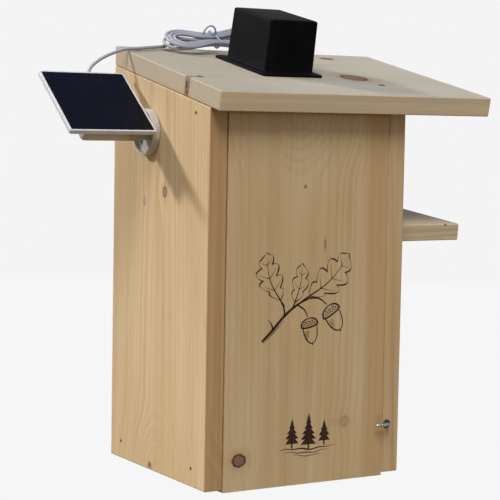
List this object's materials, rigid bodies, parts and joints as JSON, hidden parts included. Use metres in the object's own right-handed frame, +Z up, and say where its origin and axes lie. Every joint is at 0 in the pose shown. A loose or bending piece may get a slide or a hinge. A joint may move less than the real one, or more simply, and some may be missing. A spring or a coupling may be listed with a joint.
{
  "type": "squirrel house",
  "caption": "Timber nest box for squirrels: sloped roof, side entrance with landing shelf, hinged front door with turning hook, covered roof camera and tilting solar panel.",
  "frame": {"origin": "on the flat rear face that rests against the tree, on the house's centre line, 0.25 m above the underside of the side walls", "axes": "+Z up, -Y the front with the door, +X the side with the entrance and the landing shelf"},
  "size_m": [0.4128, 0.2204, 0.4654],
  "materials": {
    "side_left_wood": "bare planed softwood with knots",
    "side_right_wood": "bare planed softwood with knots",
    "back_board_wood": "bare planed softwood with knots",
    "floor_board_wood": "bare planed softwood with knots",
    "top_rail_wood": "bare planed softwood with knots",
    "front_door_wood": "bare planed softwood with knots",
    "roof_board_wood": "bare planed softwood with knots",
    "landing_shelf_wood": "bare planed softwood with knots",
    "nail_steel": "dull grey-brown steel",
    "screw_steel": "dark plated steel",
    "small_screw_steel": "plated steel",
    "pin_steel": "bright steel",
    "hook_zinc": "zinc-plated wire",
    "cover_plastic": "satin black",
    "camera_shell": "satin white",
    "ring_plastic": "satin black",
    "lens_glass": "polished dark",
    "plug_plastic": "satin off-white",
    "gland_rubber": "matt black",
    "swivel_plastic": "satin off-white",
    "tray_plastic": "satin off-white",
    "cell_glass": "glossy dark blue under clear resin",
    "lead_plastic": "smooth off-white with a violet cast",
    "tie_plastic": "plastic-coated wire"
  },
  "bodies": {
    "house": {"side_left": "side_left_wood", "side_right": "side_right_wood", "back_board": "back_board_wood", "floor_board": "floor_board_wood", "top_rail": "top_rail_wood", "roof_board": "roof_board_wood", "landing_shelf": "landing_shelf_wood", "side_nail_1": "nail_steel", "side_nail_2": "nail_steel", "side_nail_3": "nail_steel", "side_nail_4": "nail_steel", "side_nail_5": "nail_steel", "side_nail_6": "nail_steel", "back_nail_1": "nail_steel", "back_nail_2": "nail_steel", "roof_screw_1": "screw_steel", "roof_screw_2": "screw_steel", "roof_screw_3": "screw_steel", "roof_screw_4": "screw_steel", "shelf_screw_1": "screw_steel", "shelf_screw_2": "screw_steel", "cup_screw_1": "small_screw_steel", "cup_screw_2": "small_screw_steel", "cup_screw_3": "small_screw_steel", "swivel_screw": "small_screw_steel", "door_pin_left": "pin_steel", "door_pin_right": "pin_steel", "camera_cover": "cover_plastic", "camera_body": "camera_shell", "camera_ring": "ring_plastic", "camera_lens": "lens_glass", "camera_plug": "plug_plastic", "lead_gland": "gland_rubber", "wall_cup": "swivel_plastic", "swivel_rod": "swivel_plastic", "inner_lead": "lead_plastic", "lead_run": "lead_plastic", "lead_hank": "lead_plastic", "lead_tail": "lead_plastic", "lead_tie": "tie_plastic"},
    "door": {"front_door": "front_door_wood"},
    "latch": {"door_hook": "hook_zinc"},
    "panel": {"panel_sleeve": "swivel_plastic", "panel_tray": "tray_plastic", "panel_cell": "cell_glass", "lead_boot": "lead_plastic"}
  },
  "joints": [
    {"name": "door_swing", "type": "hinge", "parent": "house", "child": "door", "pos_m": [0, -0.1905, 0.0995], "axis": [-1, 0, 0], "range_deg": [0, 80]},
    {"name": "latch_turn", "type": "hinge", "parent": "house", "child": "latch", "pos_m": [0.096, -0.2, -0.201], "axis": [0, -1, 0], "range_deg": [0, 180]},
    {"name": "panel_turn", "type": "hinge", "parent": "house", "child": "panel", "pos_m": [-0.111, -0.079, 0.08522], "axis": [1, 0, 0], "range_deg": [-35, 40], "deforming": ["lead_run"]}
  ]
}
